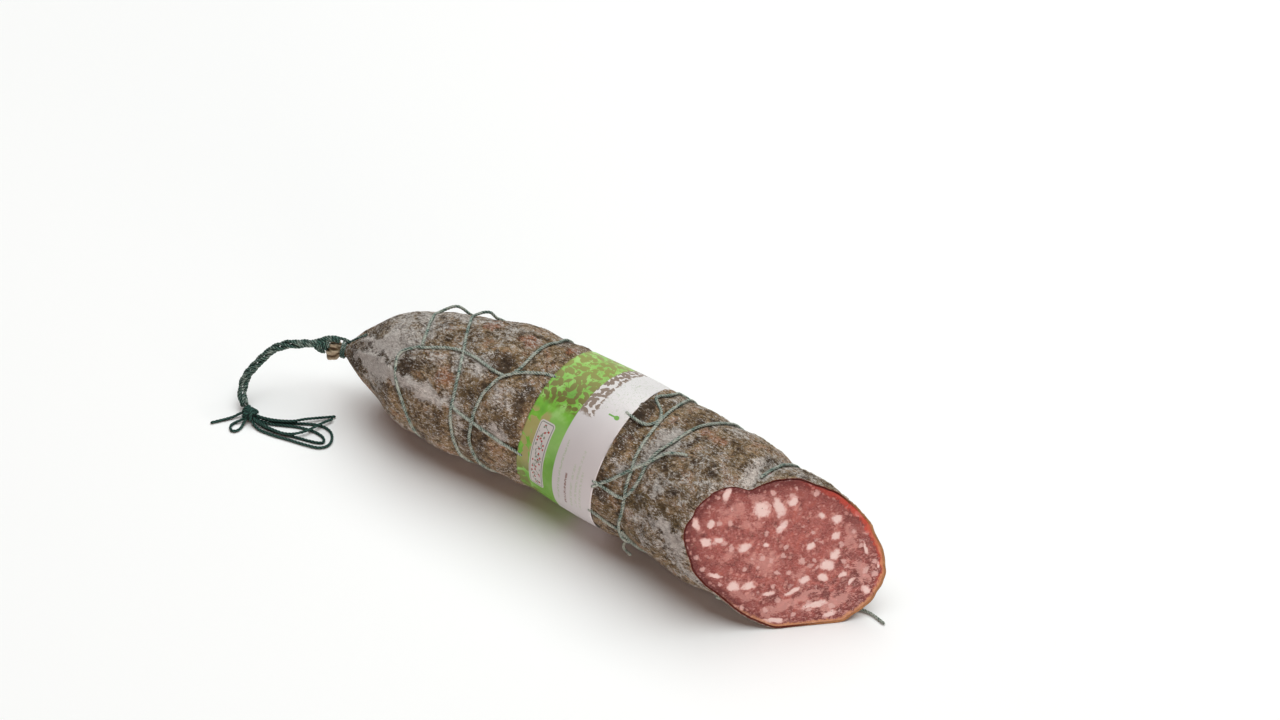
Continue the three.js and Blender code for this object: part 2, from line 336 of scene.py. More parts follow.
def curveThrough(points, step):  # evenly spaced points on a smooth curve
    points = [Vector(p) for p in points]
    ends = [2 * points[0] - points[1], *points, 2 * points[-1] - points[-2]]
    fine = []
    for a, b, c, d in zip(ends, ends[1:], ends[2:], ends[3:]):
        for k in range(24):
            t = k / 24
            fine.append(0.5 * (2 * b + (c - a) * t + (2 * a - 5 * b + 4 * c - d) * t * t
                               + (3 * b - a - 3 * c + d) * t * t * t))
    fine.append(points[-1])
    lengths = [0.0]
    for a, b in zip(fine, fine[1:]):
        lengths.append(lengths[-1] + (b - a).length)
    count = max(int(lengths[-1] / step), 2)
    even, k = [], 0
    for i in range(count + 1):
        want = lengths[-1] * i / count
        while k < len(fine) - 2 and lengths[k + 1] < want:
            k += 1
        span = max(lengths[k + 1] - lengths[k], 1e-9)
        even.append(fine[k].lerp(fine[k + 1], min((want - lengths[k]) / span, 1)))
    return even


def framesAlong(points):  # a side vector at each point that never flips
    tangents = [(b - a).normalized() for a, b in zip([points[0], *points], [*points[1:], points[-1]])]
    side = tangents[0].orthogonal().normalized()
    frames = []
    for tangent in tangents:
        side = (side - tangent * side.dot(tangent)).normalized()
        frames.append((side.copy(), tangent.cross(side)))
    return frames


yarn = {"plies": 3, "pitch": 5.0, "sides": 12, "step": 0.55, "core": 0.66, "lobe": 0.38, "unevenness": 0.08,
        "endSize": 0.45}


def yarnMesh(name, points, diameter, pitch=yarn["pitch"]):
    frames = framesAlong(points)
    count = len(points) - 1
    step = (points[1] - points[0]).length
    radius = diameter / 2

    def spot(u, v):
        k = round(v * count)
        around = 2 * math.pi * u
        side, up = frames[k]
        twist = 2 * math.pi * k * step / pitch
        lobe = abs(math.cos(yarn["plies"] * (around - twist) / 2))
        out = radius * (yarn["core"] + yarn["lobe"] * lobe)
        out *= 1 + yarn["unevenness"] * noise.noise(points[k] * 0.7)
        if k in (0, count):
            out *= yarn["endSize"]
        offset = side * math.cos(around) + up * math.sin(around)
        return points[k] + offset * out, (lobe,)

    bm = wrapGrid(name, yarn["sides"], count, spot, ("ply",))
    closeHoles(bm)
    return bm


# routes of the twine on the body: angle, x, stand-off for hoops; x, angle, stand-off for links
# a stand-off of 0 is left out
hoops = {
    "hoop_1": [
        (24, 50.5), (28, 46.5), (34, 42), (42, 40.5), (52, 42), (67, 45.6), (81, 49.4), (100, 52.6),
        (128, 55.5), (150, 57), (210, 57), (270, 59), (312, 59, 0.3), (321, 53, 3.4), (330, 45, 0.4),
        (352, 47.3), (370, 50), (383, 51.2)],
    "hoop_2": [
        (21, 76), (32, 78), (42, 79.3), (54, 80.3), (72, 81), (85, 82.5), (98, 84.6), (116, 86), (150, 90),
        (210, 90), (270, 84), (316, 74.5, 0.6), (322, 71, 3.4), (329, 65.5, 0.6), (348, 68.6), (360, 71),
        (372, 73.8), (381, 76)],
    "hoop_3": [
        (24, 109), (29, 104.5), (34, 101.8), (40, 100), (48, 97.8), (62, 96), (75, 95.4), (88, 95),
        (101, 96.4), (118, 99.6), (150, 106), (210, 106), (270, 112), (332, 117), (346, 114.4), (360, 113),
        (376, 111.4), (384, 109)],
    "hoop_4": [
        (72, 199.3), (85, 198.6), (100, 196.6), (118, 195.8), (150, 197), (210, 197), (270, 195),
        (309, 193), (334, 195.4), (379, 195.8), (398, 195.9), (410, 197.5), (422, 198.4), (432, 199.3)],
    "hoop_5": [
        (104, 198), (112, 201.5), (130, 208.5), (150, 212), (210, 212), (270, 221), (320, 218.8),
        (340, 216), (350, 213.9), (362, 212), (374, 210), (386, 206.6), (398, 204.6), (410, 205),
        (418, 204), (429, 199.6)],
    "hoop_6": [(126, 259), (150, 259), (210, 259), (300, 259), (350, 258.6), (359, 258.4)],
}
links = {
    "upper_link_1": [(50.5, 25), (57, 22.5), (62, 20.4), (67, 18.7), (72, 18.2), (76, 19)],
    "upper_link_2": [(76, 19), (82, 20.6), (88, 23), (94, 25.6), (100, 27.5), (105, 28.2)],
    "upper_link_3": [(108.5, 24), (112, 21.3), (116, 18.4), (120, 16), (125, 13.2), (132, 12.5)],
    "upper_link_4": [(178, 12), (184, 13.2), (189, 13.6), (192.6, 11.5), (194.8, 7), (195.6, 1)],
    "lower_link_2": [(80.6, 62), (83, 65.4), (89, 68), (95.6, 71)],
    "lower_link_3": [(95.6, 71), (101, 73.2), (108, 75.6), (118, 78.4), (132, 81)],
    "lower_link_4": [(177, 96.5), (184, 99.5), (190, 102.6), (196, 103)],
    "slack_strand": [
        (195.4, 3), (192.4, -4), (188.4, -8.4), (184.8, -12.6), (184.8, -18), (187.4, -25), (188, -33),
        (187, -42), (186.4, -50), (190, -58)],
    "brace_strand": [
        (178, 74), (184, 66), (188, 60.6), (192, 54.8), (196, 49.6, 0.6), (199, 45.6, 1.3), (202, 42, 1.3),
        (205, 37.4, 1.0), (208, 31), (211, 25), (215, 21.4), (219, 19), (222, 17.8)],
    "lower_brace": [(178, 69), (187, 70.4), (193, 71.6), (199.4, 71)],
}


def filled(rows, usual):  # rows that leave out their third number have the usual one
    return [(*row, usual)[:3] for row in rows]


hoops = {name: filled(rows, 0) for name, rows in hoops.items()}


def hoopLine(rows, lift):
    start, end = rows[0][0], rows[-1][0]
    count = int((end - start) / 2.5)
    angles = [start + (end - start) * k / count for k in range(count + 1)]
    return [skin(along(rows, a, 1), a, lift + max(along(rows, a, 2), 0)) for a in angles]


def linkLine(rows, lift):
    line = curveThrough(filled(rows, 0), 2.0)
    return [skin(x, angle, lift + off) for x, angle, off in line]


def lacingLines(lift):
    lines = {name: hoopLine(rows, lift) for name, rows in hoops.items()}
    lines.update({name: linkLine(rows, lift) for name, rows in links.items()})
    return lines


def lacingTree():
    spots = [p for line in lacingLines(0).values() for p in curveThrough(line, 1.0)]
    tree = KDTree(len(spots))
    for k, spot in enumerate(spots):
        tree.insert(spot, k)
    tree.balance()
    return tree


laced = lacingTree()
print("lacing laid out")

# casing
casingShape = {
    "tuftX": -10.6, "tuftEnd": -3.2, "neckX": 14, "neckRows": 46, "columns": 228, "rows": 400, "crowd": 20,
    "rimRows": 3, "rimBlend": 16, "innerRows": 24, "innerStart": 3.5, "innerEnd": 30,
    "lumpSize": 15, "lumpHeight": 1.0, "bulge": 1.0, "wrinkleHeight": 0.9, "grooveDepth": 0.5,
    "tallest": 3.0,
    # hollows: x, angle, size, depth
    "dimples": [
        (102, 18, 7, 2.4), (49, 47, 8, 1.2), (32, 50, 7, 0.8), (90, 50, 9, 0.7), (213, 25, 8, 0.8),
        (232, 62, 9, 0.9), (19, 5, 7, 0.8), (186, 20, 7, 1.0), (257, 13, 5, 1.6), (68, 84, 9, 0.8),
        (246, 24, 7, -1.4), (241, 62, 6, -1.0), (272, -20, 9, -0.8)],
    # folds from the neck: angle at the neck, angle 90 mm on, width, height
    "pleats": [
        (46, 66, 3.2, 1.6), (18, 30, 3.0, 0.5), (-25, -20, 3.5, 0.8), (88, 92, 3.0, 0.8),
        (125, 120, 4, 0.8), (-70, -60, 4, 0.9), (-110, -120, 4, 0.9), (160, 160, 4, 0.8)],
}
# soft patches on the casing: x, angle, reach along, reach around in mm, strength
casingPatches = {
    "film": [
        (36, 5, 24, 26, 0.65), (15, 28, 9, 5, 0.5), (32, 32, 16, 6, 0.6), (14, 50, 10, 3.5, 0.9),
        (32, 58, 22, 4, 0.95), (64, 61, 22, 4.5, 0.95), (27, 70, 12, 9, 0.5), (80, 28, 14, 7, 0.5),
        (92, 26, 8, 8, 0.55), (110, 45, 8, 10, 0.6), (113, 72, 7, 4, 0.9), (86, 78, 5, 14, 0.5),
        (103, 82, 6, 9, 0.3), (68, -25, 14, 10, 0.4), (90, -12, 8, 12, 0.4), (206, 12, 8, 9, 0.7),
        (203, 31, 7, 8, 0.7), (216, 50, 8, 9, 0.6), (240, 30, 18, 22, 0.35), (224, 74, 17, 5, 0.75),
        (238, 84, 9, 9, 0.8), (250, 102, 12, 6, 0.8), (214, 92, 14, 7, 0.4), (256, -4, 5, 14, 0.7),
        (270, -32, 16, 10, 0.5), (228, -28, 10, 9, 0.3), (190, 48, 7, 5, 0.5), (192, -20, 5, 9, 0.3),
        (60, 180, 40, 30, 0.4), (150, 200, 50, 30, 0.4), (100, -90, 40, 22, 0.5), (220, -80, 35, 24, 0.5),
        (250, 150, 35, 20, 0.5)],
    "dark": [
        (20, 6, 6, 13, 0.75), (15, 14, 3, 7, 0.35), (14, 39, 8, 3.5, 1.0), (27, 43, 8, 4, 0.8),
        (31, 50, 8, 5, 0.8), (48, 47, 9, 8, 1.0), (9, 72, 8, 9, 0.8), (45, 69, 7, 4, 0.6),
        (70, 84, 14, 12, 0.45), (57, -2, 3, 5, 0.6), (70, -5, 3, 8, 0.6), (62, 12, 4, 5, 0.6),
        (101, 18, 8, 7, 1.0), (104, 26, 5, 2, 1.0), (90, 51, 8, 8, 0.6), (122, 44, 6, 8, 0.85),
        (120, 28, 5, 4, 0.6), (115, 62, 12, 4, 0.7), (104, 92, 18, 9, 0.4), (70, 44, 8, 6, 0.5),
        (37, -5, 2, 6, 0.4), (185, 18, 5, 24, 1.0), (185, -4, 4, 10, 0.7), (184, 70, 4, 9, 0.6),
        (188, 84, 8, 10, 0.5), (201, 18, 4, 5, 0.5), (223, 35, 5, 5, 0.7), (234, 25, 7, 9, 0.4),
        (208, 68, 9, 6, 0.6), (228, 64, 12, 4, 0.6), (228, 78, 6, 4, 0.4), (236, 48, 8, 9, 0.35),
        (213, 47, 3, 8, 0.5), (246, 10, 6, 9, 0.4), (205, 104, 12, 6, 0.4), (258, 5, 1.5, 16, 0.7)],
    "rust": [
        (80, -20, 4, 6, 1.0), (105, -9, 5, 6, 1.0), (127, -18, 4, 7, 0.8), (70, 43, 7, 6, 0.7),
        (102, 17, 7, 5, 0.5), (17, 40, 4, 5, 0.5), (217, -8, 4, 4, 0.7), (227, -5, 5, 4, 0.6),
        (186, 28, 3, 4, 0.7), (203, -6, 9, 8, 0.35), (232, -18, 12, 8, 0.35), (88, -24, 8, 9, 0.4),
        (190, -8, 5, 6, 0.5), (125, 4, 5, 4, 0.4)],
    "olive": [
        (31, 50, 9, 5, 1.0), (20, 12, 7, 8, 0.6), (38, -6, 3, 14, 0.9), (208, 68, 14, 6, 1.0),
        (230, 66, 12, 5, 0.8), (90, 51, 8, 8, 0.7), (214, 98, 20, 7, 0.7), (190, 86, 8, 10, 0.6),
        (9, 72, 7, 12, 0.6), (60, 90, 18, 10, 0.5), (240, 6, 10, 10, 0.4), (112, 62, 14, 5, 0.5),
        (236, 50, 10, 10, 0.4)],
}


casingLayers = ("ridge", "nearTwine", "rimEdge", *casingPatches, "tuft")


def patchLevels(x, angle, point):  # how much of each patch is at a spot, its edges torn by noise
    radius = centre(x)[2]
    shiftX, around, _ = noise.noise_vector(point / 5) * 4.5
    levels = []
    for patches in casingPatches.values():
        total = 0
        for px, pAngle, reach, reachAround, strength in patches:
            lengthwise = (x + shiftX - px) / reach
            if abs(lengthwise) < 1.8:
                away = (arc(angle, pAngle, radius) + around) / reachAround
                total += strength * math.exp(-(lengthwise * lengthwise + away * away) ** 1.5)
        levels.append(total)
    return levels


def pleatHeight(x, angle, radius, point):  # folds that run back from the neck: ridge lines with a width
    fade = smooth(x, -2, 10) * (1 - smooth(x, 62, 100))
    if fade == 0:
        return 0
    total = 0
    for startAngle, endAngle, width, height in casingShape["pleats"]:
        middle = startAngle + (endAngle - startAngle) * smooth(x, 0, 90)
        width = width * (0.35 + 0.65 * smooth(x, 0, 40))
        total += height * math.exp(-(arc(angle, middle, radius) / width) ** 2)
    fan = math.cos(math.radians(angle) * 17 + 1.6 * noise.noise(point / 18))
    return fade * total + 0.32 * fan * (1 - smooth(x, 8, 42))


def relief(x, angle, point):  # how far the casing stands off the plain body, and its ridges
    s = casingShape
    radius = centre(x)[2]
    if x < s["tuftEnd"]:  # the gathered tuft
        fold = math.cos(math.radians(angle) * 7 + x * 0.3) + 0.5 * math.cos(math.radians(angle) * 13 - x)
        return (0.5 + 0.8 * fold) * smooth(-x, -s["tuftEnd"], 6), 0.5 + 0.5 * fold
    near = laced.find(point)[2]
    start, end = body["bandStart"], body["bandEnd"]
    underBand = smooth(x, start - 3, start + 1) * (1 - smooth(x, end - 1, end + 3))
    lump = noise.noise(point / s["lumpSize"] + Vector((3, 8, 1)))
    lump += 0.5 * noise.noise(point / 7 + Vector((9, 2, 5)))
    bulge = 1 - math.exp(-(near / 8) ** 2)
    flow = Vector((point.x * 0.16, point.y * 0.5, point.z * 0.5)) + noise.noise_vector(point / 11) * 1.7
    ridge = 1 - abs(noise.noise(flow + Vector((0, 0, 4)))) * 2.4
    fineRidge = 1 - abs(noise.noise(flow * 2.3 + Vector((5, 1, 9)))) * 2.4
    wrinkle = s["wrinkleHeight"] * (ridge * 0.65 + fineRidge * 0.35 - 0.45)
    wrinkle *= 0.35 + 0.65 * smooth(x, 10, 60)
    height = bulge * (s["bulge"] + s["lumpHeight"] * lump) + wrinkle * (0.4 + 0.6 * bulge)
    height *= 0.25 + 0.75 * smooth(x, 8, 50)
    height += pleatHeight(x, angle, radius, point)
    for dimpleX, dimpleAngle, size, depth in s["dimples"]:
        away = (x - dimpleX) ** 2 + arc(angle, dimpleAngle, radius) ** 2
        height -= depth * math.exp(-away / size ** 2 * 2)
    height *= smooth(x, -3, 6)
    height = height * (1 - underBand) - 0.25 * underBand
    height -= s["grooveDepth"] * math.exp(-(near / 1.3) ** 2) * (1 - underBand)
    return height, (ridge + 0.6 * fineRidge) / 1.6


def cutX(angle):  # where the skin meets the cut
    low, high = cut["reach"]
    for _ in range(26):  # halved until it is exact
        x = (low + high) / 2
        if (skin(x, angle) - cut["point"]).dot(cut["normal"]) < 0:
            low = x
        else:
            high = x
    return (low + high) / 2


def casingSpot(x, angle):
    base = skin(x, angle)
    height, ridge = relief(x, angle, base)
    height = min(height, casingShape["tallest"])
    point = base + outward(x, angle) * height
    point.z = max(point.z, 0.25 if underside(x) == 0 else underside(x))
    return point, ridge


def rimPoint(angle):  # the edge of the casing, dropped onto the cut plane
    x = cutX(angle)
    point, _ = casingSpot(x, angle)
    shiftX = (cut["point"] - point).dot(cut["normal"]) / cut["normal"].x
    return point + Vector((shiftX, 0, 0)), x, shiftX


def columnAngle(column, columns):  # columns lie closer together along the top
    u = column / columns
    return 360 * u - casingShape["crowd"] * math.sin(2 * math.pi * u)


def buildCasing():
    s = casingShape
    rims = [rimPoint(columnAngle(k, s["columns"])) for k in range(s["columns"])]
    for _ in range(3):  # evened out with the rims on either side
        near = zip(rims[-1:] + rims[:-1], rims, rims[1:] + rims[:1])
        rims = [tuple((p + q * 2 + r) / 4 for p, q, r in zip(*three)) for three in near]
    rims.append(rims[0])
    middle = sum((r[0] for r in rims[:-1]), Vector()) / s["columns"]
    total = s["rows"] + s["rimRows"] + s["innerRows"]

    def spot(u, v):
        column, row = round(u * s["columns"]), round(v * total)
        angle = columnAngle(column, s["columns"])
        rim, endX, shiftX = rims[column]
        offset = rim - cut["point"]
        farther = offset.dot(cut["across"]) - offset.dot(cut["up"]) * 0.35
        side = smooth(farther, 12, 34)  # 1 along the far edge
        if row <= s["rows"]:
            if row < s["neckRows"]:
                x = s["tuftX"] + (s["neckX"] - s["tuftX"]) * row / s["neckRows"]
            else:
                x = s["neckX"] + (endX - s["neckX"]) * (row - s["neckRows"]) / (s["rows"] - s["neckRows"])
            point, ridge = casingSpot(x, angle)
            point.x += shiftX * smooth(x, endX - s["rimBlend"], endX)
            if row == s["rows"]:
                point = rim.copy()
            edge = smooth(x, endX - 11, endX - 1) * side
            plain = skin(x, angle)
            nearTwine = math.exp(-(laced.find(plain)[2] / 2.2) ** 2)
            return point, (ridge, nearTwine, edge, *patchLevels(x, angle, plain), smooth(-x, 1.5, 4))
        inward = (middle - rim).normalized()
        if row <= s["rows"] + s["rimRows"]:
            depth = (row - s["rows"]) / s["rimRows"]
            lip = rim + inward * body["casingThickness"] * depth * 0.9 - cut["normal"] * 0.15 * depth
            return lip, (side, 0, 1 + depth, 0.6, 0, 0, 0, 0)
        back = (row - s["rows"] - s["rimRows"] - 1) / (s["innerRows"] - 1)
        x = endX - s["innerStart"] + (s["innerEnd"] - endX) * back ** 2  # closer together near the cut
        deep = body["casingThickness"] + 0.3 + 2.7 * smooth(endX - x, 2, 14)
        deep -= min(0, relief(x, angle, skin(x, angle))[0])
        return skin(x, angle, -deep, body["grooveHeight"]), (0.3, 0, 0, 0, 0, 0, 0, 0)

    bm = wrapGrid("casing", s["columns"], total, spot, casingLayers)
    closeHoles(bm)
    return bm, rims, middle


def casingMaterial():
    look = Shader("mouldyCasing", Roughness=0.8, Specular_IOR_Level=0.3)
    point = look.position()
    stretched = look.position((0.38, 1, 1))
    ridge, nearTwine, rimEdge, film, dark, rust, olive, tuft = (look.attribute(n) for n in casingLayers)
    broad = look.noise(point, 20, 3, 0.55, 0.4)
    patch = look.noise(point, 7, 4, 0.62, 0.6)
    mottle = look.noise(point, 3.2, 4, 0.6, 0.9)
    wisp = look.noise(stretched, 1.4, 3, 0.65, 2.0)
    grain = look.noise(point, 0.7, 2, 0.6, 0.5)
    hue = look.noise(point, 11, 3, 0.5, 0.5)
    smoothFilm = look.step(film, 0.45, 0.95)
    longThreads = look.threads(stretched, 3.4, 0.05, 2.2)
    shortThreads = look.threads(point, 1.7, 0.07, 2.0)
    # painted shade: thin lines, sunk a little in the bump, that are coloured dark as shade in creases
    paintedCreaseShade = look.threads(stretched, 5.5, 0.022, 1.6)
    browns = look.ramp(hue * 0.6 + patch * 0.4, (0.36, (78, 58, 38)), (0.44, (116, 92, 60)),
                       (0.52, (154, 128, 92)), (0.62, (166, 126, 92)))
    blackness = look.step(dark + (patch - 0.5) * 1.5 + (mottle - 0.5) * 1.0, 0.3, 0.85)
    # painted shade: the low points of the bump are coloured dark brown
    paintedPitShade = look.step(mottle * 0.5 + patch * 0.2 + wisp * 0.3, 0.485, 0.43)
    browns = look.coats(
        browns,
        (look.step(rust + (patch - 0.5) * 1.2, 0.25, 0.85) * 0.8, (172, 112, 80)),
        (look.step(olive + (patch - 0.5) * 0.8, 0.2, 0.8) * 0.75, (122, 100, 58)),
        (blackness * 0.85, (58, 43, 29)),
        (paintedPitShade * 0.7, (46, 34, 24)))
    amount = film * 0.8 - dark * 0.4 + (broad - 0.5) * 0.8 + (patch - 0.5) * 1.5
    amount = amount + ridge * 0.12 + nearTwine * 0.12
    haze = look.step(amount + (mottle - 0.5) * 1.2, 0.1, 0.75)
    hairs = longThreads * 0.8 + shortThreads * 0.5 + look.step(wisp, 0.5, 0.6) * 0.5
    hairs = hairs * look.step(amount, -0.35, 0.35, 0.12, 1)
    cover = look.step(haze * 0.75 + hairs * 0.5, 0.15, 0.9)
    powder = look.mix(look.step(wisp * 0.6 + mottle * 0.4, 0.4, 0.6), (146, 136, 127), (218, 211, 204))
    powder = look.mix(smoothFilm * 0.6, powder, (206, 196, 190))
    bright = look.step(wisp + (mottle - 0.5) * 0.6 + amount * 0.14, 0.5, 0.6)
    bright = (longThreads + shortThreads * 0.6) * bright
    lip = look.mix(ridge, (98, 36, 28), look.mix(mottle, (176, 110, 70), (214, 164, 116)))
    farEdge = look.step(rimEdge + (patch - 0.5) * 0.3, 0.8, 0.95) * look.step(rimEdge, 1.06, 1.03)
    colour = look.coats(
        browns,
        (cover, powder),
        (bright * 0.8, (236, 231, 224)),
        # painted shade in the creases
        (paintedCreaseShade * (1 - smoothFilm * 0.7) * 0.7, (50, 38, 28)),
        (look.step(rimEdge, 1.03, 1.12), lip),
        # painted shade and light: the tuft is darker in its fold hollows and paler on its fold crests
        (tuft, look.mix(look.step(ridge, 0.1, 0.9), (112, 92, 66), (196, 178, 150))),
        (farEdge, look.mix(mottle, (160, 76, 46), (206, 150, 104))))
    height = patch * 0.8 + mottle * 0.8 * (1 - smoothFilm * 0.6) + wisp * 0.22 + grain * 0.06
    height = height + hairs * 0.1 - paintedCreaseShade * 0.12
    rough = look.step(cover, 0, 1, 0.6, 0.95)
    return look.finish(Base_Color=colour, Roughness=rough, Normal=look.bump(height, 2.4, 0.9))


casingMesh, rims, faceMiddle = buildCasing()
casing = finishMesh("mouldyGutCasing", casingMesh, casingMaterial())
register(casing, "casing", "casing")
print("casing made")

# filling, with its cut face
filling = {
    "faceRows": 130, "wallRows": 16, "wallStart": 27, "wallEnd": 5, "clearance": 0.25,
    "chipReach": 9, "squareness": 2.1,
    # pieces of fat: across, up, half length, half width, turn
    "chips": [
        (-15.5, 28, 4.8, 5.2, -6), (-6.5, 28, 6.0, 2.7, 112), (1, 30.5, 3, 3, 0),
        (-5.5, 16.5, 4.4, 2.4, 52), (-33, 38, 2.2, 3.6, -24), (-49, 22.5, 1.8, 3.8, 18),
        (-44.5, 12.5, 3.2, 2.4, -25), (-38, 13, 2.2, 1.8, 0), (-25, 7, 3.1, 2.4, 19),
        (-13.5, 7.5, 1.8, 1.6, 0), (9.5, 4.5, 2.2, 1.9, 0), (22.5, 9, 2.2, 2.5, 0),
        (23.5, 18.3, 2.7, 3, -17), (15, 20.5, 2.1, 2.1, 0), (22, -1.6, 2.9, 3.3, 12),
        (18, -7.2, 3.6, 3.2, 11), (5, -14.5, 3.3, 2.2, 13), (37.5, -23.3, 2.1, 3.2, 30),
        (-31, -14, 3.4, 3, -15), (-23.5, -14.5, 3.8, 2.2, 5), (11, -28.7, 6.6, 2, 8),
        (-11, -35.8, 5.6, 1.6, -10), (35, 19.8, 2.2, 1.6, -29), (15, -14, 3, 2.1, -16),
        (-40, -7, 4.1, 1.2, -14), (38, 0.6, 1, 3.8, 14), (-13.5, -20, 3.6, 1.3, 18),
        (-1, -20, 5.6, 1.2, 27), (18, -35, 3.6, 2.2, 23), (-42, 22.5, 2.5, 1.7, 14),
        (25.5, -13.7, 2.5, 1.5, 29), (44, -10.5, 2, 1, 66), (30.3, -17.7, 2.8, 1.2, 65)],
    # paler smears of fine fat
    "smears": [
        (-14, -2.5, 5, 3.6, 28), (-21, 1, 2.8, 2.4, 0), (3, -11.3, 2.6, 1.8, 0), (-21.5, 19, 4, 1.6, -44),
        (-17, 35, 3, 1.4, 0), (-8, -28, 9, 2, 16), (22, -28, 8, 1.8, 30), (-30, 28, 5, 3, 30),
        (30, 8, 2, 5, 10), (-34, 3, 3, 2, 20), (5, -24, 8, 1.2, 20), (-26, -20, 6, 1.4, -20),
        (36, -12, 1.4, 5, 20)],
}


def chipField(chips, a, b):  # 1 at the middle of a piece of fat, 0 well outside
    best = 0
    for ca, cb, ra, rb, turn in chips:
        da, db = a - ca, b - cb
        if max(abs(da), abs(db)) > filling["chipReach"]:
            continue
        t = math.radians(turn)
        u, v = (da * math.cos(t) + db * math.sin(t)) / ra, (db * math.cos(t) - da * math.sin(t)) / rb
        power = filling["squareness"]
        reach = (abs(u) ** power + abs(v) ** power) ** (1 / power)
        best = max(best, 1 - reach / 2)
    return best


faceLayers = ("chip", "smear", "edge", "lower", "redSide", "border")


def buildFilling():
    s = filling
    columns = casingShape["columns"]
    total = s["wallRows"] + s["faceRows"]
    inset = body["casingThickness"] + s["clearance"]

    def spot(u, v):
        column, row = round(u * columns), round(v * total)
        rim, endX, _ = rims[column]
        inner = rim + (faceMiddle - rim).normalized() * inset
        if row < s["wallRows"]:
            x = s["wallStart"] + (endX - s["wallEnd"] - s["wallStart"]) * row / (s["wallRows"] - 1)
            angle = columnAngle(column, columns)
            deep = inset + 0.4 + 2.9 * smooth(endX - x, 6, 14)
            deep -= min(0, relief(x, angle, skin(x, angle))[0])
            return skin(x, angle, -deep, body["grooveHeight"] + 0.5), (0, 0, 1, 0, 0, 1)
        reach = (row - s["wallRows"]) / s["faceRows"]
        point = inner.lerp(faceMiddle, reach)
        offset = point - cut["point"]
        a, b = offset.dot(cut["across"]), offset.dot(cut["up"])
        wobble = noise.noise_vector(Vector((a, b, 0)) / 4) * 1.3
        wobble += noise.noise_vector(Vector((a, b, 9)) / 1.6) * 0.4
        chip = chipField(s["chips"], a + wobble.x, b + wobble.y)
        smear = chipField(s["smears"], a + wobble.x * 3, b + wobble.y * 3)
        swell = 0.55 * smooth(reach, 0, 0.12) + 0.35 * noise.noise(point / 14)
        swell += 0.15 * noise.noise(point / 3)
        swell += 0.12 * smooth(chip, 0.45, 0.6)
        depth = (inner - point).length
        lower = smooth(a * 0.5 - b, -5, 40)
        redSide = smooth(a * 0.9 + b * 0.45, 18, 42)
        point += cut["normal"] * swell * smooth(reach, 0, 0.04)
        return point, (chip, smear, 1 - smooth(depth, 0.2, 6), lower, redSide, 1 - smooth(depth, 2, 16))

    bm = wrapGrid("filling", columns, total, spot, faceLayers)
    bmesh.ops.remove_doubles(bm, verts=bm.verts, dist=2e-5)
    closeHoles(bm)
    return bm


def meatMaterial():
    look = Shader("curedMeat", Roughness=0.45, Specular_IOR_Level=0.45, Subsurface_Weight=0.06,
                  Subsurface_Radius=(0.002, 0.0008, 0.0006))
    point = look.position()
    drift = look.vectorMaths("MULTIPLY_ADD", look.noise(point, 4, 3, 0.6, output=1), (3.2, 3.2, 3.2), point)
    chip, smear, edge, lower, redSide, border = (look.attribute(n) for n in faceLayers)
    rag = look.noise(point, 1.5, 3, 0.55, 0.8)
    soft = look.noise(point, 3.2, 3, 0.55, 1.2)
    fibre = look.noise(point, 0.8, 3, 0.65, 1.2)
    torn = chip + (rag - 0.5) * 0.22 + (soft - 0.5) * 0.45
    fatMain = look.step(torn, 0.44, 0.58)
    halo = look.step(chip + (soft - 0.5) * 1.1, 0.26, 0.52)

    def crumbs(size, keep, wide):  # scattered smaller bits of fat
        pick, reach = look.parts(look.cells(drift, size, output="Color"), "Color")
        crumb = look.step(look.cells(drift, size) + (rag - 0.5) * 0.6 - reach * 0.14, wide, wide - 0.24)
        return crumb * look.step(pick, keep, keep + 0.02)

    bits = crumbs(4.2, 0.68, 0.4)
    flecks = crumbs(2.3, 0.66, 0.4)
    streakField = look.noise(look.position((1, 1, 2.4), (0.5, 0, 0)), 3.4, 4, 0.62, 2.6)
    streak = look.step(streakField + smear * 0.3 + lower * 0.05, 0.56, 0.66)
    threads = look.threads(look.position((1, 1, 1.8)), 3.0, 0.045, 1.5)
    tone = look.noise(point, 7, 4, 0.6, 0.8)
    clouds = look.step(soft + smear * 0.35, 0.5, 0.68)
    lean = look.ramp(tone * 0.6 + fibre * 0.4, (0.36, (92, 28, 24)), (0.45, (130, 52, 46)),
                     (0.54, (156, 74, 67)), (0.66, (176, 88, 72)))
    fat = look.mix(look.step(torn + (fibre - 0.5) * 0.5, 0.46, 0.74), (206, 150, 144), (230, 203, 198))
    pepper = look.step(look.cells(point, 2.6), 0.17, 0.09) * look.step(look.noise(point, 6, 1), 0.54, 0.6)
    colour = look.coats(
        lean,
        (threads * 0.4, (206, 140, 130)),
        (look.step(edge + (tone - 0.5) * 1.2, 0.15, 0.85) * (1 - lower * 0.7), (92, 22, 18)),
        (clouds * 0.4, (198, 130, 120)),
        (halo * 0.5, (204, 140, 130)),
        (lower * look.step(tone, 0.6, 0.42) * 0.7, (98, 32, 28)),
        (border * 0.5, (108, 34, 30)),
        (streak * (0.4 + lower * 0.3), (210, 154, 146)),
        (flecks * 0.45, (216, 160, 150)),
        (bits * 0.8, look.mix(fibre, (200, 146, 140), (228, 196, 190))),
        (fatMain, fat),
        (look.step(edge + (soft - 0.5) * 1.6, 0.35, 0.95) * redSide * 0.9, (188, 54, 30)),
        (look.step(edge + (soft - 0.5) * 0.8, 0.78, 0.98) * lower * 0.75, (206, 146, 100)),
        (pepper * 0.8, (96, 70, 40)))
    wet = look.step(fibre, 0.3, 0.7, 0.3, 0.55)
    height = fibre * 0.5 + fatMain * 0.25 + bits * 0.2 + rag * 0.6 + threads * 0.1
    return look.finish(Base_Color=colour, Roughness=wet, Normal=look.bump(height, 0.7, 0.8))


meat = finishMesh("curedMeatFilling", buildFilling(), meatMaterial())
register(meat, "meat", "filling")
print("filling made")

